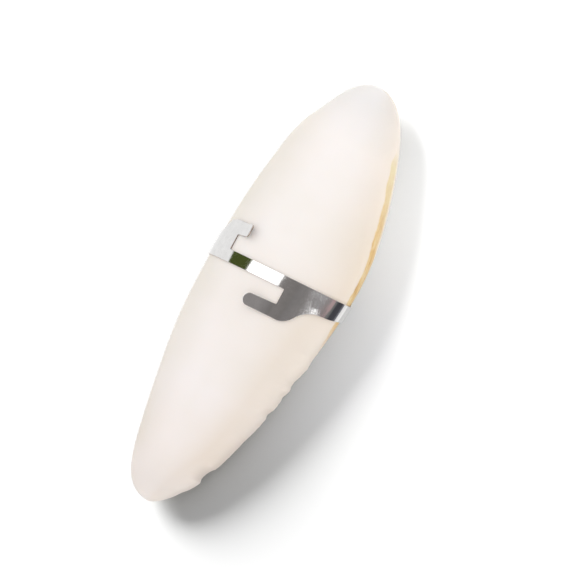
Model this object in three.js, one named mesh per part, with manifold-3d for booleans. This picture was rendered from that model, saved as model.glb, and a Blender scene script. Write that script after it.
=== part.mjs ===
// A cuttlebone in the bent sheet-metal clip that hooks it on the bars of a cage.
// Millimetres, +Z up. The bone lies along Y on its belly, its broad end towards +Y.
// Its back and the clip's hooks are up.

import * as THREE from 'three';
import { mergeVertices } from 'three/addons/utils/BufferGeometryUtils.js';
import Module from 'manifold-3d';

const wasm = await Module();
wasm.setup();

const bone = {
  length: 130,
  leftPlan: [21.05, 1.05, 0.5, 8.2, 2.1, -10.9], // half-widths: an ellipse times a polynomial
  rightPlan: [20.8, 6.8, -8.4, -14.6, 6.3, 12.3],
  narrowTipDrift: -2.7, // how far each tip stands to the side of the long axis
  broadTipDrift: -2.7,
  rimHeight: 8.6, // the rim at mid-length, above the table
  rimDrop: 2.2, // the rim is lower by this at the tips
  backHeight: 10, // the back above the rim
  backFullness: 0.46, // power of the back's lengthwise arch
  backRoundness: 2.2, // superellipse powers of the section above and below the rim
  bellyRoundness: 3,
  restDepth: 0.35, // worn flat on the table by this much
  broadRise: 0.55, // stations where the belly starts to rise to the tips
  narrowRise: 0.62,
  risePower: 3,
  hollowDepth: 2, // the belly's shallow hollow, between its two rests
  hollowStation: -0.1,
  hollowReach: 0.42,
  around: 36,
  along: 84,
};

// Places where the thin margin has broken away, and lobes of it that are left standing, by side.
const chips = [
  { side: 1, y: -13, reach: 4, depth: -0.4 },
  { side: 1, y: -25, reach: 3, depth: -0.55 },
  { side: 1, y: -30, reach: 26, depth: -0.25 },
  { side: 1, y: -32, reach: 5, depth: -0.4 },
  { side: 1, y: -51, reach: 2.6, depth: 1.8 },
  { side: 1, y: -55.5, reach: 3, depth: -1.1 },
  { side: -1, y: 55, reach: 6, depth: 1.1 },
  { side: -1, y: 43, reach: 7, depth: -0.4 },
];
const chipPower = 6; // keeps a chip to the margin

const clip = {
  y: 5.0,
  centreX: -3.57,
  skew: THREE.MathUtils.degToRad(3.4), // it sits a little crooked on the bone
  thickness: 0.5,
  gap: 0.3, // to the bone
  stripWidth: 3.5,
  slotWidth: 4.6, // takes a cage bar
  slotEnd: 10.2, // from the clip's middle, along the strip
  fingerWidth: 3.7,
  legWidth: 5.2,
  shoulder: 3.3, // straight stretch of a tab before it narrows
  neck: 9.8, // stretch in which a tab narrows to its leg
  legEnd: 42, // from the clip's middle, round the rim and under the belly
  legCorner: 1.6,
};

// The hook fingers: the left one is bent further outward and is shorter.
const fingers = [
  { side: 1, length: 9.2, bend: THREE.MathUtils.degToRad(20), bendRadius: 14 },
  { side: -1, length: 6.8, bend: THREE.MathUtils.degToRad(30), bendRadius: 8 },
];

const materials = {
  bone: new THREE.MeshStandardMaterial({ color: 0xf3efe9, roughness: 0.75, metalness: 0 }),
  clip: new THREE.MeshStandardMaterial({ color: 0xc4c6c8, roughness: 0.22, metalness: 1 }),
};

const clamp = THREE.MathUtils.clamp;
const lerp = THREE.MathUtils.lerp;
const smoothstep = THREE.MathUtils.smoothstep;

// The bone

const polynomial = (powers, t) => powers.reduceRight((sum, power) => sum * t + power, 0);

const superellipse = (value, power) => Math.sign(value) * Math.abs(value) ** (2 / power);

function bellyLine(station) {
  const start = station > 0 ? bone.broadRise : bone.narrowRise;
  const rise = clamp((Math.abs(station) - start) / (1 - start), 0, 1);
  return (bone.rimHeight - bone.rimDrop) * rise ** bone.risePower;
}

function bellyHollow(station) {
  const offset = (station - bone.hollowStation) / bone.hollowReach;
  return bone.hollowDepth * Math.max(0, 1 - offset ** 2) ** 2;
}

function chipDepth(side, y) {
  return chips
    .filter((chip) => chip.side === side)
    .reduce((sum, chip) => sum + chip.depth * Math.max(0, 1 - ((y - chip.y) / chip.reach) ** 2), 0);
}

// A point of the bone's surface. The station runs from -1, the narrow tip, to 1.
// The angle goes round the section, from +X over the back.
function bonePoint(station, angle) {
  const y = (station * bone.length) / 2;
  const ellipse = Math.sqrt(Math.max(0, 1 - station ** 2));
  const drift = station > 0 ? bone.broadTipDrift : bone.narrowTipDrift;
  const cos = Math.cos(angle);
  const sin = Math.sin(angle);
  const side = Math.sign(cos);
  const plan = side > 0 ? bone.rightPlan : bone.leftPlan;
  const roundness = sin > 0 ? bone.backRoundness : bone.bellyRoundness;
  const across = superellipse(cos, roundness);
  const margin = side * ellipse * chipDepth(side, y) * across ** chipPower;
  const x = drift * station ** 4 + ellipse * polynomial(plan, station) * across - margin;
  const rim = bone.rimHeight - bone.rimDrop * station ** 2;
  const back = bone.backHeight * Math.max(0, 1 - station ** 2) ** bone.backFullness;
  if (sin > 0) return new THREE.Vector3(x, y, rim + back * superellipse(sin, roundness));
  const depth = rim - bellyLine(station) + bone.restDepth * ellipse - bellyHollow(station);
  return new THREE.Vector3(x, y, Math.max(0, rim + depth * superellipse(sin, roundness)));
}

function boneGeometry() {
  const geometry = new THREE.SphereGeometry(1, bone.around, bone.along); // its poles become the tips
  const position = geometry.getAttribute('position');
  for (let i = 0; i < position.count; i += 1) {
    const angle = Math.atan2(position.getZ(i), position.getX(i));
    const point = bonePoint(clamp(position.getY(i), -1, 1), angle);
    position.setXYZ(i, point.x, point.y, point.z);
  }
  return merged(geometry);
}

// The clip

// The strip's middle line round the bone: points, outward normals and lengths along it.
// The lengths are zero at the clip's middle.
function wrapPath() {
  const station = clip.y / (bone.length / 2);
  const steps = 360;
  const start = -0.5 * Math.PI;
  const ring = [];
  for (let i = 0; i <= steps; i += 1) {
    ring.push(bonePoint(station, start - (i / steps) * 2 * Math.PI));
  }
  const offset = clip.gap + clip.thickness / 2;
  const path = ring.slice(1, -1).map((point, i) => {
    const tangent = new THREE.Vector3().subVectors(ring[i + 2], ring[i]).setY(0).normalize();
    const normal = new THREE.Vector3(-tangent.z, 0, tangent.x);
    return { point: point.clone().addScaledVector(normal, offset).setY(0), normal };
  });
  path[0].along = 0;
  for (let i = 1; i < path.length; i += 1) {
    path[i].along = path[i - 1].along + path[i].point.distanceTo(path[i - 1].point);
  }
  const middle = path.find((step) => step.point.z > bone.rimHeight && step.point.x > clip.centreX).along;
  path.forEach((step) => {
    step.along -= middle;
  });
  return path;
}

const wrap = wrapPath();

// Point and normal of the strip's middle line at a length along it.
function onWrap(along) {
  const next = clamp(wrap.findIndex((step) => step.along > along), 1, wrap.length - 1);
  const [a, b] = [wrap[next - 1], wrap[next]];
  const share = (along - a.along) / (b.along - a.along);
  return {
    point: a.point.clone().lerp(b.point, share),
    normal: a.normal.clone().lerp(b.normal, share).normalize(),
  };
}

// Point and normal of a finger's middle line: it leaves the tab's end, bends outward and runs straight.
function onFinger(finger, length) {
  const root = onWrap(finger.side * clip.slotEnd);
  const tangent = new THREE.Vector3(root.normal.z, 0, -root.normal.x).multiplyScalar(-finger.side);
  const turn = clamp(length / finger.bendRadius, 0, finger.bend);
  const straight = length - turn * finger.bendRadius;
  const [cos, sin] = [Math.cos(turn), Math.sin(turn)];
  const point = root.point
    .clone()
    .addScaledVector(tangent, finger.bendRadius * sin + straight * cos)
    .addScaledVector(root.normal, finger.bendRadius * (1 - cos) + straight * sin);
  const normal = root.normal.clone().multiplyScalar(cos).addScaledVector(tangent, -sin);
  return { point, normal };
}

// A flat strip bent along a line: at each stop its edges are given across Y.
function bentStrip(stops, line, edges) {
  const geometry = new THREE.BoxGeometry(1, 1, 1, stops.length - 1, 1, 1);
  const position = geometry.getAttribute('position');
  for (let i = 0; i < position.count; i += 1) {
    const stop = stops[Math.round((position.getX(i) + 0.5) * (stops.length - 1))];
    const { point, normal } = line(stop);
    const [low, high] = edges(stop);
    point.addScaledVector(normal, position.getZ(i) * clip.thickness);
    position.setXYZ(i, point.x, lerp(low, high, position.getY(i) + 0.5), point.z);
  }
  return merged(geometry);
}

function spread(from, to, count) {
  return Array.from({ length: count + 1 }, (_, i) => lerp(from, to, i / count));
}

const half = clip.stripWidth / 2;
const tabEdge = half + clip.slotWidth + clip.fingerWidth;
const legEdge = clip.legWidth - half;
const neckStart = clip.slotEnd + clip.shoulder;
const neckEnd = neckStart + clip.neck;
const cornerStops = [0, 0.3, 0.6, 0.85, 1];
const tipReach = 0.97; // a round tip stops just short of its full length, so that its end has a width
const rootOverlap = 1; // a finger starts inside its tab

// How far a rounded corner takes an edge in, at a share of the corner's length.
const cornerInset = (radius, share) => radius * (1 - Math.sqrt(Math.max(0, 1 - share ** 2)));

// The middle strip with the two legs that hold the bone.
function bandStrip() {
  const legStart = clip.legEnd - clip.legCorner;
  const rightSide = [
    ...spread(0, clip.slotEnd, 6),
    ...spread(clip.slotEnd, neckEnd, 9).slice(1),
    ...spread(neckEnd, legStart, 18).slice(1),
    ...cornerStops.slice(1).map((share) => legStart + share * clip.legCorner),
  ];
  const stops = [...rightSide.slice(1).reverse().map((along) => -along), ...rightSide];
  return bentStrip(stops, onWrap, (along) => {
    const inset = cornerInset(clip.legCorner, clamp((Math.abs(along) - legStart) / clip.legCorner, 0, 1));
    const wide = Math.abs(along) > neckEnd - 1e-6 ? legEdge : half;
    return along > 0 ? [inset - wide, half - inset] : [inset - half, wide - inset];
  });
}

// A tab on one side: it widens from the leg to carry the finger.
function tabStrip(side) {
  const stops = spread(clip.slotEnd, neckEnd, 9).map((along) => side * along);
  if (side < 0) stops.reverse();
  return bentStrip(stops, onWrap, (along) => {
    const edge = lerp(tabEdge, legEdge, smoothstep(Math.abs(along), neckStart, neckEnd));
    return side > 0 ? [-edge, 0] : [0, edge];
  });
}

// The hook finger of a tab, with its round tip.
function fingerStrip(finger) {
  const { side } = finger;
  const radius = clip.fingerWidth / 2;
  const bendEnd = finger.bendRadius * finger.bend;
  const tipStart = finger.length - radius;
  const stops = [
    -rootOverlap,
    ...spread(0, bendEnd, 4),
    ...spread(bendEnd, tipStart, 3).slice(1, -1),
    ...cornerStops.map((share) => tipStart + share * radius * tipReach),
  ];
  if (side > 0) stops.reverse();
  const line = (length) => (length < 0 ? onWrap(side * (clip.slotEnd - length)) : onFinger(finger, length));
  return bentStrip(stops, line, (length) => {
    const inset = cornerInset(radius, clamp((length - tipStart) / radius, 0, 1));
    const edges = [tabEdge - clip.fingerWidth + inset, tabEdge - inset];
    return side > 0 ? edges.map((edge) => -edge).reverse() : edges;
  });
}

function merged(geometry) {
  geometry.deleteAttribute('normal');
  geometry.deleteAttribute('uv');
  return mergeVertices(geometry, 1e-4);
}

function solid(geometry) {
  return new wasm.Manifold(
    new wasm.Mesh({
      numProp: 3,
      vertProperties: geometry.getAttribute('position').array,
      triVerts: new Uint32Array(geometry.index.array),
    }),
  );
}

function clipGeometry() {
  const hooks = fingers.flatMap((finger) => [tabStrip(finger.side), fingerStrip(finger)]);
  const strips = [bandStrip(), ...hooks];
  const mesh = strips.map(solid).reduce((whole, piece) => whole.add(piece)).getMesh();
  return new THREE.BufferGeometry()
    .setAttribute('position', new THREE.BufferAttribute(mesh.vertProperties, mesh.numProp))
    .setIndex(new THREE.BufferAttribute(mesh.triVerts, 1));
}

const cuttlebone = new THREE.Mesh(boneGeometry(), materials.bone);
cuttlebone.name = 'cuttlebone';

const cageClip = new THREE.Mesh(clipGeometry(), materials.clip);
cageClip.name = 'cage_clip';
cageClip.position.y = clip.y;
cageClip.rotation.z = clip.skew;

const part = new THREE.Group();
part.add(cuttlebone, cageClip);

export default part;
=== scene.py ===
# A cuttlebone in its cage clip, lying on its belly under soft studio light.
import math

import bmesh
import bpy
from mathutils import Matrix, Vector, noise


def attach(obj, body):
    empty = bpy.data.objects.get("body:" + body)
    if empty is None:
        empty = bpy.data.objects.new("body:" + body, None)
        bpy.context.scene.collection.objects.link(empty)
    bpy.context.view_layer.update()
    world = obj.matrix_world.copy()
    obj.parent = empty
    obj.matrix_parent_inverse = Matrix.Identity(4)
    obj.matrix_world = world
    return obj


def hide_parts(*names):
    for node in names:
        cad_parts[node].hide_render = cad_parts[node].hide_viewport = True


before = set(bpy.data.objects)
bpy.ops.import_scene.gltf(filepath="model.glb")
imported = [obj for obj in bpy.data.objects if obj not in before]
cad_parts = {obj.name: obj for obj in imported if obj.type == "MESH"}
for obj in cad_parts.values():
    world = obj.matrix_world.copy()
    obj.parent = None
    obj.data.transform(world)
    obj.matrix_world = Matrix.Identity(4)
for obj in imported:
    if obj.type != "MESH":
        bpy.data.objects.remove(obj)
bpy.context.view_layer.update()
mm = 0.001  # the dictionaries below are in millimetres and degrees


# Small helpers

def clamp(value, low=0.0, high=1.0):
    return max(low, min(high, value))


def smoothStep(value, start, end):
    t = clamp((value - start) / (end - start))
    return t * t * (3 - 2 * t)


def bell(value, middle, reach):
    return math.exp(-((value - middle) / reach) ** 2)


def toLinear(hexColour):
    parts = [int(hexColour[i:i + 2], 16) / 255 for i in (1, 3, 5)]
    return [p / 12.92 if p <= 0.04045 else ((p + 0.055) / 1.055) ** 2.4 for p in parts] + [1.0]


def grain(size):
    return 1 / (size * mm)  # texture scale for features of that many millimetres on Object coordinates


def addNode(tree, kind, settings=None, links=None):
    # settings are the node's own properties or, by name or number, its sockets; links feed its sockets
    node = tree.nodes.new(kind)
    for key, value in (settings or {}).items():
        if isinstance(key, str) and hasattr(node, key):
            setattr(node, key, value)
        else:
            node.inputs[key].default_value = value
    for key, source in (links or {}).items():
        tree.links.new(source, node.inputs[key])
    return node


def setRamp(ramp, stops):
    for element, place in zip(ramp.elements, (min(stops), max(stops))):
        element.position = place
        element.color = toLinear(stops[place])
    for place in sorted(stops)[1:-1]:
        ramp.elements.new(place).color = toLinear(stops[place])


def newMaterial(name):
    material = bpy.data.materials.new(name)
    material.use_nodes = True
    material.node_tree.nodes.clear()
    return material, material.node_tree


def newPiece(name, bm, material):
    mesh = bpy.data.meshes.new(name)
    bm.to_mesh(mesh)
    bm.free()
    mesh.materials.append(material)
    piece = bpy.data.objects.new(name, mesh)
    bpy.context.scene.collection.objects.link(piece)
    return piece


# The bone

boneShape = {
    "length": 130,
    "leftPlan": (21.05, 1.05, 0.5, 8.2, 2.1, -10.9),  # half-widths: an ellipse times a polynomial
    "rightPlan": (20.8, 6.8, -8.4, -14.6, 6.3, 12.3),
    "narrowTipDrift": -2.7,
    "broadTipDrift": -2.7,
    "rimHeight": 8.6,
    "rimDrop": 2.2,  # the rim is lower by this at the tips
    "backHeight": 10,
    "backFullness": 0.46,
    "backRoundness": 2.2,
    "bellyRoundness": 3,
    "restDepth": 0.35,  # worn flat on the table by this much
    "broadRise": 0.55,
    "narrowRise": 0.62,
    "risePower": 3,
    "hollowDepth": 2,
    "hollowStation": -0.1,
    "hollowReach": 0.42,
    "around": 124,
    "along": 740,
    "rimGather": 0.22,  # draws the mesh lines together at the rim
    # chips out of the thin margin: side, place along the bone, reach, depth
    "chips": (
        (1, -13, 4, -0.4),
        (1, -16.5, 1.6, 0.25),
        (1, -20, 1.6, -0.4),
        (1, -25, 3, -0.55),
        (1, -28, 1.6, 0.3),
        (1, -30, 26, -0.25),
        (1, -32, 5, -0.4),
        (1, -51, 2.6, 1.8),
        (1, -55.5, 3, -1.1),
        (-1, 55, 6, 1.1),
        (-1, 43, 7, -0.4),
    ),
    "chipPower": 6,
    "raggedDepth": 0.28,  # the broken right margin, towards the narrow tip
    "raggedFrom": -6,
    "raggedRun": 9,  # it takes this long to reach its depth
    "raggedSize": 2.6,
    "raggedFine": (0.6, 0.4),  # smaller bites: depth and size, as shares
    "raggedBias": 0.35,  # more is broken off than added
    "raggedPower": 10,
    "swell": 0.22,  # slow unevenness of the back
    "swellSize": 24,
    "swellFine": (0.4, 0.4),  # smaller lumps on it: height and size, as shares
    "swellFrom": (-0.05, 0.4),  # it grows from the rim upward
    "swellLift": 1.6,  # and pushes more upward than sideways
    "clipSeat": (5, 9, 0.8),  # even under the clip: place, reach, by
    "hornLedge": 0.16,  # the horn at the rim lies lower than the chalk by this
    "hornLedgePower": 4,
    "underFrom": (0.25, 0.6),  # the belly's relief grows in from the rim
    "growthSpacing": 1.7,  # lamella edges on the belly
    "growthRelief": 0.16,
    "growthArch": 9,
    "growthWander": (0.5, 9),  # they waver: by, size
    "growthTips": (0.25, 0.5),  # and fade at the tips
    "smoothFrom": 22,  # the last chamber, in front, is smooth
    "smoothBlend": 4,
    "smoothArch": 8.1,
    "medianGroove": (0.35, -1, 2.2),  # depth, place and reach across
    "grooveTips": (0.3, 0.7),
}


def superellipse(value, power):
    return math.copysign(abs(value) ** (2 / power), value)


def bonePoint(station, angle):
    b = boneShape
    y = station * b["length"] / 2
    ellipse = math.sqrt(max(0.0, 1 - station ** 2))
    cos, sin = math.cos(angle), math.sin(angle)
    side = 1 if cos > 0 else -1
    plan = b["rightPlan"] if side > 0 else b["leftPlan"]
    roundness = b["backRoundness"] if sin > 0 else b["bellyRoundness"]
    across = superellipse(cos, roundness)
    halfWidth = ellipse * sum(k * station ** i for i, k in enumerate(plan))
    chipped = sum(d * max(0.0, 1 - ((y - at) / reach) ** 2) for s, at, reach, d in b["chips"] if s == side)
    drift = b["broadTipDrift"] if station > 0 else b["narrowTipDrift"]
    x = drift * station ** 4 + halfWidth * across - side * ellipse * chipped * across ** b["chipPower"]
    rim = b["rimHeight"] - b["rimDrop"] * station ** 2
    if sin > 0:
        back = b["backHeight"] * max(0.0, 1 - station ** 2) ** b["backFullness"]
        return Vector((x, y, rim + back * superellipse(sin, roundness)))
    start = b["broadRise"] if station > 0 else b["narrowRise"]
    rise = clamp((abs(station) - start) / (1 - start)) ** b["risePower"]
    belly = (b["rimHeight"] - b["rimDrop"]) * rise
    hollow = b["hollowDepth"] * max(0.0, 1 - ((station - b["hollowStation"]) / b["hollowReach"]) ** 2) ** 2
    depth = rim - belly + b["restDepth"] * ellipse - hollow
    return Vector((x, y, max(0.0, rim + depth * superellipse(sin, roundness))))


hornShape = {
    "ends": (-9, 5, 47, 53),  # along the right rim it fades in and out between these
    "top": 1.4,  # how far above the rim it shows
    "upperTop": 2.5,  # and towards the broad end
    "upperFrom": (21, 27),
    "tipTop": -1.6,  # at its ends it sinks by this
    "edgeNoise": 0.35,
    "edgeSizes": (4, 1.3),  # its edge wanders slowly, and half as much at the smaller size
    "softness": 0.65,
    "bottom": -4.2,
    "upperBottom": -2,
    "bottomSoftness": 1.2,
    "leftTop": -0.4,
    "leftEnds": (-30, -20, 38, 48),
}


def hornAmount(point, rim, side):
    # the horny skin that shows along the rim, as a share
    h = hornShape
    height = point.z - rim
    slow, fine = h["edgeSizes"]
    wander = h["edgeNoise"] * noise.noise(Vector((point.y / slow, side * 9, 0)))
    wander += 0.5 * h["edgeNoise"] * noise.noise(Vector((point.y / fine, side * 5, 2)))
    first, full, last, none = h["ends"] if side > 0 else h["leftEnds"]
    ends = smoothStep(point.y, first, full) * (1 - smoothStep(point.y, last, none))
    top, bottom = h["leftTop"], h["bottom"]
    if side > 0:
        upper = smoothStep(point.y, *h["upperFrom"])
        top = h["top"] + (h["upperTop"] - h["top"]) * upper + h["tipTop"] * (1 - ends)
        bottom += (h["upperBottom"] - h["bottom"]) * upper
    shown = smoothStep(top + wander - height, 0, h["softness"])
    return ends * shown * smoothStep(height - bottom, 0, h["bottomSoftness"])


toneShape = {
    # over the flank, from 0 on the crest to 1 at the rim
    "creamAndShade": (0.0, 0.9),  # the right flank turns creamy, and darker as painted shade, from here to here
    "creamSpread": (0.15, 24),  # it starts nearer the crest at mid-length: by, reach
    "creamLoss": (0.35, 20, 54),  # towards the broad tip it is weaker: by, from, to
    "creamMost": (0.38, -15, 8),  # behind the clip it stays paler
    "creamTip": (0.4, 44, 58),  # and most of all at the narrow tip
    "shade": (0.02, 0.85),  # painted shade: the left flank is greyed
    "broadLoss": (0.6, 30, 62),  # less so at both tips and behind the clip
    "narrowLoss": (0.6, 48, 60),
    "shadeGap": (0.25, -20, 22),
}


def ease(settings, y):
    by, start, end = settings
    return by * smoothStep(y, start, end)


def sideTones(flank, y):
    # how far the right flank is creamy with painted shade, and how far the left one carries painted shade
    t = toneShape
    start, full = t["creamAndShade"]
    nearer, reach = t["creamSpread"]
    start -= nearer * bell(y, 0, reach)
    creamAndShade = clamp((flank - start) / (full - start)) * (1 - ease(t["creamLoss"], y))
    creamAndShade = min(creamAndShade, 1 - ease(t["creamMost"], -y) - ease(t["creamTip"], -y))
    start, full = t["shade"]
    shade = clamp((-flank - start) / (full - start))
    gap, place, reach = t["shadeGap"]
    shade *= 1 - ease(t["broadLoss"], y) - ease(t["narrowLoss"], -y) - gap * bell(y, place, reach)
    return creamAndShade, shade


def buildBone(material):
    b = boneShape
    bm = bmesh.new()
    bmesh.ops.create_uvsphere(bm, u_segments=b["around"], v_segments=b["along"], radius=1)
    polesToTips = Matrix.Rotation(math.radians(-90), 3, "X")
    bmesh.ops.rotate(bm, verts=bm.verts[:], matrix=polesToTips)
    horn = bm.verts.layers.float.new("horn")
    creamAndShade = bm.verts.layers.float.new("creamAndShade")
    shade = bm.verts.layers.float.new("shade")
    belly = bm.verts.layers.float.new("belly")
    growth = bm.verts.layers.float.new("growth")
    for vert in bm.verts:
        station = clamp(vert.co.y, -1, 1)
        angle = math.atan2(vert.co.z, vert.co.x)
        angle -= b["rimGather"] * math.sin(2 * angle)
        cos, sin = math.cos(angle), math.sin(angle)
        side = 1 if cos > 0 else -1
        point = bonePoint(station, angle)
        ellipse = math.sqrt(max(0.0, 1 - station ** 2))
        rim = b["rimHeight"] - b["rimDrop"] * station ** 2
        outward = Vector((cos, 0, sin * b["swellLift"])).normalized()
        # slow swellings of the back
        high, size = b["swellFine"]
        lumps = noise.noise(point / b["swellSize"])
        lumps += high * noise.noise(point / (size * b["swellSize"]))
        seat, reach, evened = b["clipSeat"]
        lumps *= 1 - evened * bell(point.y, seat, reach)
        point += outward * (b["swell"] * lumps * ellipse * smoothStep(sin, *b["swellFrom"]))
        # the broken margin
        if side > 0 and point.y < b["raggedFrom"]:
            start = -b["raggedFrom"]
            near = abs(cos) ** b["raggedPower"] * ellipse
            near *= smoothStep(-point.y, start, start + b["raggedRun"])
            high, size = b["raggedFine"]
            bite = noise.noise(Vector((point.y / b["raggedSize"], 3, 0)))
            bite += high * noise.noise(Vector((point.y / (size * b["raggedSize"]), 7, point.z / 3)))
            point.x -= b["raggedDepth"] * near * (bite + b["raggedBias"])
        amount = hornAmount(point, rim, side)
        point -= Vector((side, 0, 0)) * (b["hornLedge"] * amount * abs(cos) ** b["hornLedgePower"])
        # lamella edges, arched forward, and the groove along the middle of the belly
        under = smoothStep(-sin, *b["underFrom"])
        arch = abs(cos) ** 2
        phase = (point.y + b["growthArch"] * arch) / b["growthSpacing"]
        by, size = b["growthWander"]
        phase += by * noise.noise(Vector((point.x / size, point.y / size, 4)))
        edge = (1 - phase % 1) ** 2
        forward = point.y + b["smoothArch"] * arch
        striped = under * (1 - smoothStep(forward, b["smoothFrom"] - b["smoothBlend"], b["smoothFrom"]))
        striped *= smoothStep(ellipse, *b["growthTips"])
        point.z += b["growthRelief"] * edge * striped
        depth, middle, reach = b["medianGroove"]
        point.z += depth * bell(point.x, middle, reach) * under * smoothStep(ellipse, *b["grooveTips"])
        vert.co = point
        vert[horn] = amount
        # painted shade on the left flank; a creamy tone with painted shade on the right
        vert[creamAndShade], vert[shade] = sideTones(cos * abs(cos), point.y)
        vert[belly] = under
        vert[growth] = edge * striped
    bmesh.ops.scale(bm, verts=bm.verts[:], vec=(mm, mm, mm))
    bmesh.ops.recalc_face_normals(bm, faces=bm.faces[:])
    for face in bm.faces:
        face.smooth = True
    return newPiece("bone", bm, material)


# Cuttlebone is chalky aragonite, grown in thin layers: off-white, dry and matt, faintly grainy,
# with a little light let in at the surface. A horny skin shows along the rim, amber and smoother.

def chalkMaterial():
    material, tree = newMaterial("chalky_aragonite")
    place = addNode(tree, "ShaderNodeTexCoord").outputs["Object"]
    apart = addNode(tree, "ShaderNodeSeparateXYZ", links={"Vector": place})
    shares = {
        name: addNode(tree, "ShaderNodeAttribute", {"attribute_name": name}).outputs["Fac"]
        for name in ("horn", "creamAndShade", "shade", "belly", "growth")
    }

    # the white along the back, from the dull narrow tip to the cool broad one
    tip = boneShape["length"] / 2 * mm
    length = addNode(
        tree, "ShaderNodeMapRange", {"From Min": -tip, "From Max": tip}, {"Value": apart.outputs["Y"]}
    )
    white = addNode(tree, "ShaderNodeValToRGB", links={"Fac": length.outputs["Result"]})
    setRamp(white.color_ramp, {
        0.04: "#ebe2de", 0.12: "#f2e9e5", 0.27: "#f5eeec", 0.44: "#f5eeea",
        0.62: "#f9f3f0", 0.86: "#fbf4f1", 0.96: "#f0eceb",
    })
    # creamy blushes in it, and the flanks' tones: creamy with painted shade on the right, painted shade on
    # the left
    blush = addNode(
        tree, "ShaderNodeTexNoise",
        {"Scale": grain(17), "Detail": 2.0, "Roughness": 0.45}, {"Vector": place},
    )
    blushed = addNode(
        tree, "ShaderNodeMapRange", {"From Min": 0.34, "From Max": 0.66}, {"Value": blush.outputs["Fac"]}
    )
    colour = white.outputs["Color"]
    for share, tone in (
        (blushed.outputs["Result"], "#fcfcfa"),
        # the right flank's creamy tone also darkens it as painted shade; the left flank's grey is painted
        # shade
        (shares["creamAndShade"], "#f1e9dc"),
        (shares["shade"], "#e8e7e0"),
    ):
        toned = addNode(
            tree, "ShaderNodeMix", {"data_type": "RGBA", "blend_type": "MULTIPLY", 7: toLinear(tone)},
            {0: share, 6: colour},
        )
        colour = toned.outputs[2]

    # the belly is ivory, with darker edges of the lamellae
    ivory = addNode(
        tree, "ShaderNodeMix", {"data_type": "RGBA", 7: toLinear("#f0e8da")},
        {0: shares["belly"], 6: colour},
    )
    lines = addNode(tree, "ShaderNodeMath", {"operation": "MULTIPLY", 1: 0.55}, {0: shares["growth"]})
    lined = addNode(
        tree, "ShaderNodeMix", {"data_type": "RGBA", 7: toLinear("#d9c9ad")},
        {0: lines.outputs["Value"], 6: ivory.outputs[2]},
    )

    # amber horn, streaked along the rim, paler towards the broad end
    along = addNode(tree, "ShaderNodeMapping", {"Scale": (1.0, 0.3, 1.0)}, {"Vector": place})
    streak = addNode(
        tree, "ShaderNodeTexNoise", {"Scale": grain(1.6), "Detail": 3.0, "Roughness": 0.6},
        {"Vector": along.outputs["Vector"]},
    )
    amber = addNode(tree, "ShaderNodeValToRGB", links={"Fac": streak.outputs["Fac"]})
    setRamp(amber.color_ramp, {0.3: "#cc9a52", 0.48: "#dfbb7c", 0.72: "#e8d4a6"})
    pale = addNode(
        tree, "ShaderNodeMapRange", {"From Min": 24 * mm, "From Max": 48 * mm, "To Max": 0.85},
        {"Value": apart.outputs["Y"]},
    )
    straw = addNode(
        tree, "ShaderNodeMix", {"data_type": "RGBA", 7: toLinear("#e6d9b3")},
        {0: pale.outputs["Result"], 6: amber.outputs["Color"]},
    )
    horned = addNode(
        tree, "ShaderNodeMix", {"data_type": "RGBA"},
        {0: shares["horn"], 6: lined.outputs[2], 7: straw.outputs[2]},
    )

    # chalk grain, finer than the render can show at its real 0.1 mm, so it is drawn at 0.4 mm
    chalk = addNode(
        tree, "ShaderNodeTexNoise",
        {"Scale": grain(0.4), "Detail": 3.0, "Roughness": 0.65}, {"Vector": place},
    )
    pores = addNode(tree, "ShaderNodeTexNoise", {"Scale": grain(2.4), "Detail": 2.0}, {"Vector": place})
    rough = addNode(
        tree, "ShaderNodeMapRange", {"From Min": 0.3, "From Max": 0.7, "To Min": 0.66, "To Max": 0.8},
        {"Value": pores.outputs["Fac"]},
    )
    roughness = addNode(
        tree, "ShaderNodeMix", {"data_type": "FLOAT", 3: 0.42},
        {0: shares["horn"], 2: rough.outputs["Result"]},
    )
    height = addNode(
        tree, "ShaderNodeMath", {"operation": "MULTIPLY_ADD", 1: 0.6},
        {0: chalk.outputs["Fac"], 2: pores.outputs["Fac"]},
    )
    bump = addNode(
        tree, "ShaderNodeBump", {"Strength": 0.35, "Distance": 0.08 * mm},
        {"Height": height.outputs["Value"]},
    )

    shader = addNode(
        tree, "ShaderNodeBsdfPrincipled",
        {
            "IOR": 1.53, "Specular IOR Level": 0.35, "Subsurface Weight": 0.12,
            "Subsurface Radius": (1.0, 0.75, 0.55), "Subsurface Scale": 0.8 * mm,
        },
        {
            "Base Color": horned.outputs[2],
            "Roughness": roughness.outputs[0],
            "Normal": bump.outputs["Normal"],
        },
    )
    addNode(tree, "ShaderNodeOutputMaterial", links={"Surface": shader.outputs["BSDF"]})
    return material


bone = buildBone(chalkMaterial())
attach(bone, "root")
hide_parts("cuttlebone")
print("bone:", len(bone.data.vertices), "vertices")


# The clip

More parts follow.
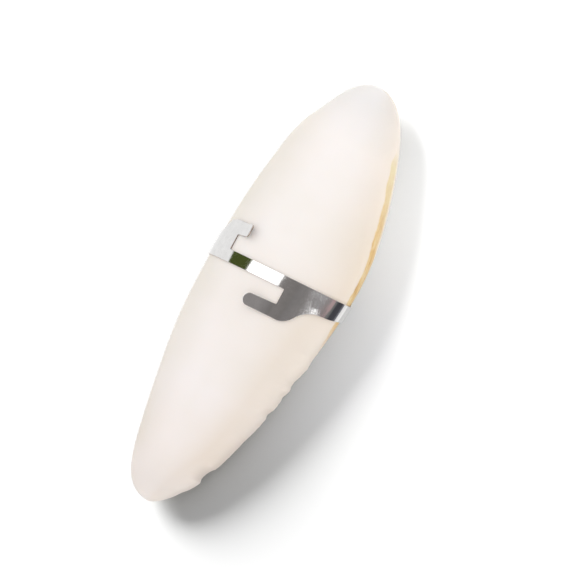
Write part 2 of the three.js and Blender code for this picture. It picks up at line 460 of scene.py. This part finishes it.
clipShape = {
    "y": 5.0,
    "centreX": -3.57,
    "skew": 3.4,
    "thickness": 0.35,
    "gap": 0.04,
    "rightGap": 0.1,  # it stands off the right flank by this much more
    "rightGapFrom": (12, 20),
    "pathSteps": 720,
    "stripWidth": 3.5,
    "slotWidth": 4.55,
    "slotEnd": 10.18,  # from the clip's middle, along the strip
    "fingerWidth": 4.0,
    "fingerTaper": 0.4,
    "fingerLength": {1: 9.2, -1: 5.8},
    "fingerBend": {1: 13, -1: 22},  # outward from the tab, right and left
    "fingerSlant": {1: -2, -1: 4},  # along the bone
    "fingerCurl": {1: 0, -1: 22},  # at the tip
    "curlLength": 1.8,
    "bendRadius": {1: 20, -1: 8},
    "elbow": 4.3,  # from the slot's end to the tab's outer corner
    "neck": 8.4,  # from the slot's end to where the leg starts
    "neckEdge": 4.4,
    "legStart": 15.5,
    "legEdge": 3.85,
    "heel": 20,  # where the leg turns under the rim
    "heelEdge": 3.2,
    "legEnd": 42,
    "tipRound": 1.75,
    "elbowRound": 2.4,
    "neckRound": 3.2,
    "legRound": 1.6,
    "slotRound": 0.3,
    "cutEvery": 0.3,  # mesh rows across the sheet
    "cutShift": 0.01,
    "rowEvery": 0.66,  # and along it
    "rows": 14,
    "edgeRound": 0.07,
    "edgeAngle": 60,  # a sharper edge than this is rounded
    "creaseAngle": 15,
    "dent": 0.05,
    "dentSize": 7,
    # where the sheet was forced over the curve: height, place, reach, sizes
    "wrinkle": (0.02, 20.2, 2.6, 0.9, 2.6),
    "bulge": (0.26, 20.4, 1.6, -2.5, 1.3),  # height, place and reach along, place and reach across
}


def wrapPath():
    # the strip's middle line round the bone: place, outward normal and length from the clip's middle
    c = clipShape
    station = c["y"] / (boneShape["length"] / 2)
    steps = c["pathSteps"]
    ring = [bonePoint(station, math.radians(-90 - 360 * i / steps)) for i in range(steps + 1)]
    path = []
    for before, here, after in zip(ring, ring[1:], ring[2:]):
        tangent = (after - before).normalized()
        normal = Vector((-tangent.z, 0, tangent.x))
        offset = c["gap"] + c["thickness"] / 2 + c["rightGap"] * smoothStep(here.x, *c["rightGapFrom"])
        path.append([0.0, Vector((here.x, 0, here.z)) + normal * offset, normal])
    for last, step in zip(path, path[1:]):
        step[0] = last[0] + (step[1] - last[1]).length
    middle = next(s[0] for s in path if s[1].z > boneShape["rimHeight"] and s[1].x > c["centreX"])
    return [(length - middle, point, normal) for length, point, normal in path]


def onWrap(path, length):
    index = next((i for i, step in enumerate(path) if step[0] > length), len(path) - 1)
    a, b = path[max(index, 1) - 1], path[max(index, 1)]
    share = (length - a[0]) / (b[0] - a[0])
    return a[1].lerp(b[1], share), a[2].lerp(b[2], share).normalized()


def alongBone(point, y):
    # carries a place on the clip's middle section to the bone's section at y
    middle, here = clipShape["y"] / (boneShape["length"] / 2), y / (boneShape["length"] / 2)
    edge = 0 if point.x > 0 else math.pi
    wider = bonePoint(here, edge).x / bonePoint(middle, edge).x
    rims = [bonePoint(station, edge).z for station in (middle, here)]
    tops = [bonePoint(station, math.pi / 2).z for station in (middle, here)]
    higher = (tops[1] - rims[1]) / (tops[0] - rims[0]) if point.z > rims[0] else 1
    return Vector((point.x * wider, y, rims[1] + (point.z - rims[0]) * higher))


def onFinger(path, side, start, length):
    # a finger leaves the tab's end, bends outward, runs straight and may curl at its tip
    c = clipShape
    point, up = onWrap(path, start)
    ahead = Vector((up.z, 0, -up.x)) * -side
    bend, curl = math.radians(c["fingerBend"][side]), math.radians(c["fingerCurl"][side])
    bent = c["bendRadius"][side] * bend
    straight = c["fingerLength"][side] - bent - c["curlLength"]
    turn = 0
    for stretch, by in ((bent, bend), (straight, 0), (c["curlLength"], curl)):
        run = min(length, stretch)
        step = by * run / stretch
        middle = turn + step / 2
        point = point + (ahead * math.cos(middle) + up * math.sin(middle)) * run
        turn += step
        length -= run
    return point, up * math.cos(turn) - ahead * math.sin(turn)


def sliceBlank(bm, place, normal):
    everything = bm.verts[:] + bm.edges[:] + bm.faces[:]
    bmesh.ops.bisect_plane(bm, geom=everything, plane_co=place, plane_no=normal)


def buildClip(material):
    c = clipShape
    half = c["stripWidth"] / 2
    slotEdge = half + c["slotWidth"]
    tabEdge = slotEdge + c["fingerWidth"]
    end = c["slotEnd"]
    # one half of the flat blank, corner by corner with its rounding; the other is the same, turned half way
    corners = []
    for side in (1, -1):
        tip = end - c["fingerLength"][side]
        outline = [
            (end, -half, c["slotRound"]),
            (end, -slotEdge, c["slotRound"]),
            (tip, -slotEdge, c["tipRound"]),
            (tip, c["fingerTaper"] - tabEdge, c["tipRound"]),
            (end + c["elbow"], -tabEdge, c["elbowRound"]),
            (end + c["neck"], -c["neckEdge"], c["neckRound"]),
            (end + c["legStart"], -c["legEdge"], c["legRound"]),
            (end + c["heel"], -c["heelEdge"], c["legRound"]),
            (c["legEnd"], -c["heelEdge"], c["legRound"]),
            (c["legEnd"], half, c["legRound"]),
        ]
        corners += [(side * q, side * v, rounding) for q, v, rounding in outline]
    bm = bmesh.new()
    verts = [bm.verts.new((q, v, 0)) for q, v, rounding in corners]
    bm.faces.new(verts)
    for rounding in sorted({corner[2] for corner in corners}):
        bmesh.ops.bevel(
            bm, geom=[v for v, corner in zip(verts, corners) if corner[2] == rounding], offset=rounding,
            offset_type="OFFSET", segments=8, profile=0.5, affect="VERTICES", material=-1,
        )
    # cross cuts let the flat blank bend
    cuts = int(c["legEnd"] / c["cutEvery"])
    for i in range(-cuts, cuts + 1):
        sliceBlank(bm, (i * c["cutEvery"] + c["cutShift"], 0, 0), (1, 0, 0))
    for i in range(-c["rows"], c["rows"] + 1):
        sliceBlank(bm, (0, i * c["rowEvery"], 0), (0, 1, 0))
    bmesh.ops.recalc_face_normals(bm, faces=bm.faces[:])
    bmesh.ops.solidify(bm, geom=bm.faces[:], thickness=c["thickness"])
    bmesh.ops.recalc_face_normals(bm, faces=bm.faces[:])
    middle = (min(v.co.z for v in bm.verts) + max(v.co.z for v in bm.verts)) / 2
    bmesh.ops.translate(bm, verts=bm.verts[:], vec=(0, 0, -middle))
    sharp = math.radians(c["edgeAngle"])
    rims = [e for e in bm.edges if len(e.link_faces) == 2 and e.calc_face_angle() > sharp]
    bmesh.ops.bevel(
        bm, geom=rims, offset=c["edgeRound"], offset_type="OFFSET", segments=2, profile=0.5,
        affect="EDGES", material=-1,
    )
    sheet = bm.loops.layers.uv.new("sheet")
    cutEdge = bm.faces.layers.float.new("cutEdge")
    for face in bm.faces:
        face.smooth = True
        face[cutEdge] = 1.0 if abs(face.normal.z) < 0.5 else 0.0
        for loop in face.loops:
            loop[sheet].uv = loop.vert.co.xy  # millimetres on the flat blank
    # bend it round the bone
    path = wrapPath()
    skew = math.radians(c["skew"])
    for vert in bm.verts:
        q, v, w = vert.co
        side = 1 if v < 0 else -1
        out = c["slotEnd"] - side * q
        inFinger = abs(v) > half + 0.5 * c["slotWidth"] and out > 0
        y = q * math.sin(skew) + v * math.cos(skew)
        if inFinger:
            point, normal = onFinger(path, side, side * c["slotEnd"] - v * math.sin(skew), out)
            y += math.tan(math.radians(c["fingerSlant"][side])) * out
        else:
            point, normal = onWrap(path, q * math.cos(skew) - v * math.sin(skew))
        w += c["dent"] * (noise.noise(Vector((q / c["dentSize"], v / c["dentSize"], 1))) + 0.5)
        high, place, reach, size, long = c["wrinkle"]
        w += high * bell(q, place, reach) * (noise.noise(Vector((q / size, v / long, 3))) + 0.5)
        high, place, reach, across, acrossReach = c["bulge"]
        w += high * bell(q, place, reach) * bell(v, across, acrossReach)
        vert.co = alongBone(point + normal * w, c["y"] + y)
    bmesh.ops.scale(bm, verts=bm.verts[:], vec=(mm, mm, mm))
    bmesh.ops.recalc_face_normals(bm, faces=bm.faces[:])
    for edge in bm.edges:
        edge.smooth = edge.calc_face_angle(0) < math.radians(c["creaseAngle"])
    return newPiece("clip", bm, material)


# Tinplate is rolled steel with a bright tin coat: it mirrors the room with a little haze,
# drawn out along the rolling.

def tinplateMaterial():
    material, tree = newMaterial("tinplate")
    flat = addNode(tree, "ShaderNodeUVMap", {"uv_map": "sheet"}).outputs["UV"]
    rolled = addNode(tree, "ShaderNodeMapping", {"Scale": (0.25, 2.6, 1.0)}, {"Vector": flat})
    lines = addNode(
        tree, "ShaderNodeTexNoise", {"Scale": 1.0, "Detail": 3.0, "Roughness": 0.6},
        {"Vector": rolled.outputs["Vector"]},
    )
    crystals = addNode(
        tree, "ShaderNodeTexNoise", {"Scale": 1.4, "Detail": 3.0, "Roughness": 0.7}, {"Vector": flat}
    )
    haze = addNode(
        tree, "ShaderNodeMapRange", {"From Min": 0.3, "From Max": 0.7, "To Min": 0.05, "To Max": 0.11},
        {"Value": crystals.outputs["Fac"]},
    )
    speckle = addNode(
        tree, "ShaderNodeTexNoise", {"Scale": 0.5, "Detail": 2.0, "Roughness": 0.5}, {"Vector": flat}
    )
    contrast = addNode(
        tree, "ShaderNodeMapRange", {"From Min": 0.3, "From Max": 0.7}, {"Value": speckle.outputs["Fac"]}
    )
    tint = addNode(
        tree, "ShaderNodeMix", {"data_type": "RGBA", 6: toLinear("#d3d2d1"), 7: toLinear("#dad9d8")},
        {0: contrast.outputs["Result"]},
    )
    # stretch marks where the sheet was forced over the curve, on the right neck
    apart = addNode(tree, "ShaderNodeSeparateXYZ", links={"Vector": flat})
    begins = addNode(
        tree, "ShaderNodeMapRange",
        {"interpolation_type": "SMOOTHSTEP", "From Min": 14.8, "From Max": 18.5},
        {"Value": apart.outputs["X"]},
    )
    stops = addNode(
        tree, "ShaderNodeMapRange",
        {"interpolation_type": "SMOOTHSTEP", "From Min": 24.0, "From Max": 21.5},
        {"Value": apart.outputs["X"]},
    )
    zone = addNode(
        tree, "ShaderNodeMath", {"operation": "MULTIPLY"},
        {0: begins.outputs["Result"], 1: stops.outputs["Result"]},
    )
    torn = addNode(
        tree, "ShaderNodeMapping", {"Rotation": (0, 0, 0.4), "Scale": (1.1, 0.5, 1.0)}, {"Vector": flat}
    )
    marks = addNode(
        tree, "ShaderNodeTexNoise", {"Scale": 1.0, "Detail": 5.0, "Roughness": 0.68},
        {"Vector": torn.outputs["Vector"]},
    )
    marked = addNode(
        tree, "ShaderNodeMath", {"operation": "MULTIPLY"},
        {0: zone.outputs["Value"], 1: marks.outputs["Fac"]},
    )
    rolling = addNode(tree, "ShaderNodeMath", {"operation": "MULTIPLY", 1: 0.03}, {0: lines.outputs["Fac"]})
    height = addNode(
        tree, "ShaderNodeMath", {"operation": "ADD"},
        {0: rolling.outputs["Value"], 1: marked.outputs["Value"]},
    )
    bump = addNode(
        tree, "ShaderNodeBump", {"Strength": 1.0, "Distance": 0.16 * mm},
        {"Height": height.outputs["Value"]},
    )
    # the cut edges are bare steel, browned a little
    cutEdge = addNode(tree, "ShaderNodeAttribute", {"attribute_name": "cutEdge"}).outputs["Fac"]
    colour = addNode(
        tree, "ShaderNodeMix", {"data_type": "RGBA", 7: toLinear("#a8968a")},
        {0: cutEdge, 6: tint.outputs[2]},
    )
    satin = addNode(
        tree, "ShaderNodeMath", {"operation": "MULTIPLY_ADD", 1: 0.13},
        {0: zone.outputs["Value"], 2: haze.outputs["Result"]},
    )
    roughness = addNode(
        tree, "ShaderNodeMix", {"data_type": "FLOAT", 3: 0.4}, {0: cutEdge, 2: satin.outputs["Value"]}
    )
    shader = addNode(
        tree, "ShaderNodeBsdfPrincipled", {"Metallic": 1.0},
        {
            "Base Color": colour.outputs[2],
            "Roughness": roughness.outputs[0],
            "Normal": bump.outputs["Normal"],
        },
    )
    addNode(tree, "ShaderNodeOutputMaterial", links={"Surface": shader.outputs["BSDF"]})
    return material


clip = buildClip(tinplateMaterial())
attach(clip, "root")
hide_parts("cage_clip")
print("clip:", len(clip.data.vertices), "vertices")


# Camera: it looks down on the back from the right, rolled so that the bone leans as in the photograph

viewShape = {
    "tilt": 22,
    "roll": 29.7,
    "frameWidth": 157.6,
    "distance": 1200,
    "sensor": 36,
    "aim": (0, 0, 8.6),
    "aimRight": 5.12,  # the frame's middle stands off the bone's by this
    "aimUp": 2.46,
}


def buildCamera():
    v = viewShape
    tilt, roll = math.radians(v["tilt"]), math.radians(v["roll"])
    back = Vector((math.sin(tilt), 0, math.cos(tilt)))
    level = Vector((math.cos(tilt), 0, -math.sin(tilt)))
    right = level * math.cos(roll) + Vector((0, 1, 0)) * math.sin(roll)
    up = back.cross(right)
    place = Vector(v["aim"]) + right * v["aimRight"] + up * v["aimUp"] + back * v["distance"]
    data = bpy.data.cameras.new("camera")
    data.sensor_width = v["sensor"]
    data.lens = v["sensor"] * v["distance"] / v["frameWidth"]
    camera = bpy.data.objects.new("camera", data)
    camera.matrix_world = Matrix.Translation(place * mm) @ Matrix((right, up, back)).transposed().to_4x4()
    bpy.context.scene.collection.objects.link(camera)
    bpy.context.scene.camera = camera


buildCamera()


# Studio: a pale table, an even bright room, a soft lamp, a sun for the table's shadow,
# and glowing cards and strips that light nothing and that only the metal mirrors: painted reflections

stageShape = {
    "floorSize": 12000,
    "floorColour": "#a0a0a0",
    "ambient": 1.0,
    "backdrop": "#f4f4f4",
    "lamp": {"angle": -50, "lean": 15, "distance": 900, "size": 260, "radiance": 1.2},
    "sun": {"angle": -58, "lean": 14, "softness": 34, "strength": 12.1},
    "fill": {"angle": 48, "place": (44, 46), "distance": 700, "reach": 74, "size": 120, "watts": 70},
    # painted reflections, seen only by the metal: from angle to angle, measured from overhead towards +X;
    # from y to y; colour; radiance from edge to edge
    "reflectionCards": {
        "leftPanel": (-92, -54, -450, 450, "#ffffff", 1.13, 1.13),
        "greenCard": (-54, -33, -450, 450, "#69773a", 0.55, 0.55),
        "whiteBox": (-33, -12, -450, 450, "#ffffff", 2.4, 2.4),
        "darkFlag": (-12, 2, -280, 280, "#fff8f5", 0.28, 0.25),
        "neckFlag": (2, 31, -150, 400, "#fff9f8", 0.25, 0.42),
        "glint": (31, 37, -150, 400, "#f4f6ff", 0.7, 0.7),
        "sideFlag": (37, 50, -150, 400, "#fff8f5", 0.26, 0.24),
        "frontBox": (11, 50, -500, -150, "#ffffff", 2.0, 2.0),
        "greyFlag": (50, 59, -450, 450, "#ffffff", 0.28, 0.33),
        "rosePanel": (59, 69, -450, 450, "#ffe0e0", 0.54, 0.54),
        "dimFlag": (69, 78, -450, 450, "#ffffff", 0.26, 0.14),
        "blackFlag": (78, 91, -450, 450, "#f0f0ff", 0.1, 0.08),
    },
    "cardDistance": 700,
    # painted reflections lying just above the table, seen only by the metal: from x to x; colour; radiance
    # from edge to edge
    "strips": {
        "leftStrip": (-700, -23, "#ffffff", 1.13, 1.13),
        "blackStrip": (66, 700, "#f0f0ff", 0.1, 0.08),
        "dimStrip": (44, 66, "#f0f0ff", 0.3, 0.14),
        "whiteStrip": (28.5, 44, "#ffffff", 1.25, 1.0),
        "paleStrip": (22, 28.5, "#ffffff", 0.8, 0.9),
    },
    "stripReach": 450,
    "stripHeight": 0.4,
}


def direction(angle, lean=0.0):
    a, b = math.radians(angle), math.radians(lean)
    return Vector((math.sin(a) * math.cos(b), math.sin(b), math.cos(a) * math.cos(b)))


def buildLamp(name, kind, towards, distance=1000):
    data = bpy.data.lights.new(name, kind)
    lamp = bpy.data.objects.new(name, data)
    lamp.location = towards * distance * mm
    lamp.rotation_euler = towards.to_track_quat("Z", "Y").to_euler()
    lamp.visible_glossy = False
    lamp.visible_camera = False
    bpy.context.scene.collection.objects.link(lamp)
    return lamp


def buildCard(name, a, b, front, rear, colour, first, last):
    material, tree = newMaterial(name)
    across = addNode(tree, "ShaderNodeUVMap", {"uv_map": "across"}).outputs["UV"]
    share = addNode(tree, "ShaderNodeSeparateXYZ", links={"Vector": across}).outputs["X"]
    radiance = addNode(tree, "ShaderNodeMapRange", {"To Min": first, "To Max": last}, {"Value": share})
    glow = addNode(
        tree, "ShaderNodeEmission", {"Color": toLinear(colour)}, {"Strength": radiance.outputs["Result"]}
    )
    addNode(tree, "ShaderNodeOutputMaterial", links={"Surface": glow.outputs["Emission"]})
    bm = bmesh.new()
    corners = [(a, front, 0), (a, rear, 0), (b, rear, 1), (b, front, 1)]
    face = bm.faces.new([bm.verts.new(place + Vector((0, y, 0))) for place, y, side in corners])
    uv = bm.loops.layers.uv.new("across")
    for loop, (place, y, side) in zip(face.loops, corners):
        loop[uv].uv = (side, 0)
    bmesh.ops.scale(bm, verts=bm.verts[:], vec=(mm, mm, mm))
    card = newPiece(name, bm, material)
    # the card lights nothing and shows only in the metal's mirror: a painted reflection
    for ray in ("camera", "diffuse", "shadow", "transmission", "volume_scatter"):
        setattr(card, "visible_" + ray, False)


def buildStage():
    s = stageShape
    material, tree = newMaterial("pale_table")
    shader = addNode(
        tree, "ShaderNodeBsdfPrincipled",
        {"Base Color": toLinear(s["floorColour"]), "Roughness": 0.9, "Specular IOR Level": 0.0},
    )
    addNode(tree, "ShaderNodeOutputMaterial", links={"Surface": shader.outputs["BSDF"]})
    bm = bmesh.new()
    bmesh.ops.create_grid(bm, x_segments=1, y_segments=1, size=s["floorSize"] * mm / 2)
    table = newPiece("table", bm, material)

    soft = s["lamp"]
    lamp = buildLamp("lamp", "AREA", direction(soft["angle"], soft["lean"]), soft["distance"])
    lamp.data.shape = "DISK"
    lamp.data.size = soft["size"] * mm
    lamp.data.energy = soft["radiance"] * math.pi * lamp.data.size ** 2  # four times the disk's area
    sun = buildLamp("sun", "SUN", direction(s["sun"]["angle"], s["sun"]["lean"]))
    sun.data.angle = math.radians(s["sun"]["softness"])
    sun.data.energy = s["sun"]["strength"]
    fill = buildLamp("fill", "SPOT", direction(s["fill"]["angle"]), s["fill"]["distance"])
    fill.location += Vector((*s["fill"]["place"], 0)) * mm
    fill.data.spot_size = 2 * math.atan(s["fill"]["reach"] / s["fill"]["distance"])
    fill.data.shadow_soft_size = s["fill"]["size"] * mm / 2
    fill.data.spot_blend = 1.0
    fill.data.energy = s["fill"]["watts"]
    tableOnly = bpy.data.collections.new("tableOnly")
    tableOnly.objects.link(table)
    for light in (sun, fill):
        light.light_linking.receiver_collection = tableOnly

    for name, (start, end, front, rear, colour, first, last) in s["reflectionCards"].items():
        a, b = direction(start) * s["cardDistance"], direction(end) * s["cardDistance"]
        buildCard(name, a, b, front, rear, colour, first, last)
    for name, (start, end, colour, first, last) in s["strips"].items():
        a, b = Vector((start, 0, s["stripHeight"])), Vector((end, 0, s["stripHeight"]))
        buildCard(name, a, b, -s["stripReach"], s["stripReach"], colour, first, last)

    world = bpy.data.worlds.new("studio")
    world.use_nodes = True
    tree = world.node_tree
    tree.nodes.clear()
    seen = addNode(tree, "ShaderNodeLightPath").outputs["Is Camera Ray"]
    around = addNode(tree, "ShaderNodeBackground", {"Color": toLinear("#ffffff"), "Strength": s["ambient"]})
    behind = addNode(tree, "ShaderNodeBackground", {"Color": toLinear(s["backdrop"])})
    both = addNode(
        tree, "ShaderNodeMixShader",
        links={0: seen, 1: around.outputs["Background"], 2: behind.outputs["Background"]},
    )
    addNode(tree, "ShaderNodeOutputWorld", links={"Surface": both.outputs["Shader"]})
    bpy.context.scene.world = world
    bpy.context.scene.view_settings.view_transform = "Standard"


buildStage()
print("stage set")

bpy.context.view_layer.update()
